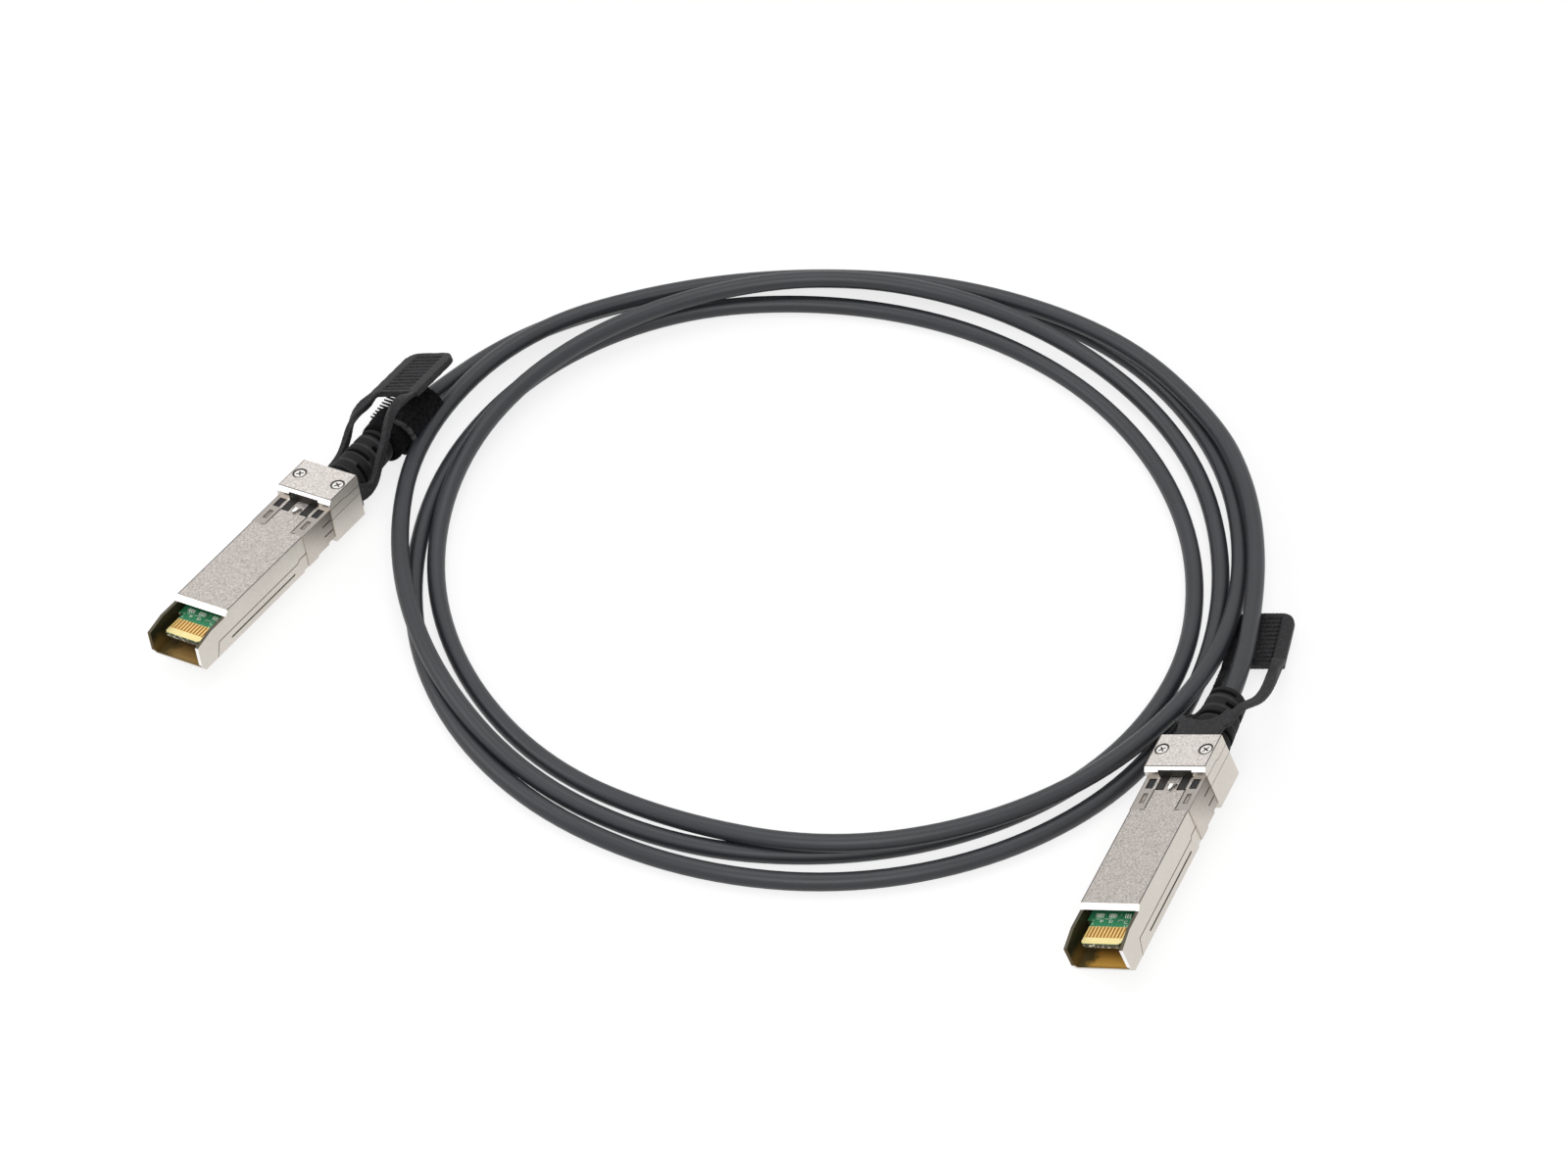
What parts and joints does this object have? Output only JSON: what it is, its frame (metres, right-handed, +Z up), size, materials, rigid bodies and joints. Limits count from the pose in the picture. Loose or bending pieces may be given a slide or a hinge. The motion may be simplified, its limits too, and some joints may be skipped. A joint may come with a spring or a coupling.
{
  "type": "direct attach copper cable",
  "caption": "Coiled twin-axial cable with a metal plug-in module at each end, each with a card edge nose, a latch slider and a ribbed pull tab.",
  "frame": {"origin": "centre of the box round everything but the cable itself, on the surface the cable lies on", "axes": "+Z up, +X from the first plug to the second, across the coil"},
  "size_m": [0.2414, 0.2093, 0.0194],
  "materials": {
    "nickel": "satin nickel plate",
    "collar": "satin nickel plate",
    "screw": "satin",
    "card": "solder mask",
    "gold": "plated",
    "chip": "matte",
    "ferrule": "satin",
    "conductor": "foil",
    "boot": "matte",
    "slider": "matte",
    "tab": "matte",
    "jacket": "satin",
    "strap": "fuzzy"
  },
  "bodies": {
    "cable": {"shell_top_a": "nickel", "shell_base_a": "nickel", "head_cap_a": "nickel", "head_screws_a": "screw", "emi_collar_a": "collar", "paddle_card_a": "card", "edge_contacts_a": "gold", "card_chips_a": "chip", "ferrule_a": "ferrule", "twinax_pairs_a": "conductor", "boot_a": "boot", "shell_top_b": "nickel", "shell_base_b": "nickel", "head_cap_b": "nickel", "head_screws_b": "screw", "emi_collar_b": "collar", "paddle_card_b": "card", "edge_contacts_b": "gold", "card_chips_b": "chip", "ferrule_b": "ferrule", "twinax_pairs_b": "conductor", "boot_b": "boot", "cable_coil": "jacket", "cable_tail_a": "jacket", "cable_tail_b": "jacket", "hook_loop_strap": "strap"},
    "release_a": {"latch_slider_a": "slider", "pull_tab_a": "tab"},
    "release_b": {"latch_slider_b": "slider", "pull_tab_b": "tab"}
  },
  "joints": [
    {"name": "release_pull_a", "type": "slide", "parent": "cable", "child": "release_a", "axis": [0.5197, 0.8533, -0.0422], "range_m": [0, 0.002], "stiffness_N_per_m": 150},
    {"name": "release_pull_b", "type": "slide", "parent": "cable", "child": "release_b", "axis": [0.4171, 0.9089, 0.0049], "range_m": [0, 0.002], "stiffness_N_per_m": 150}
  ]
}
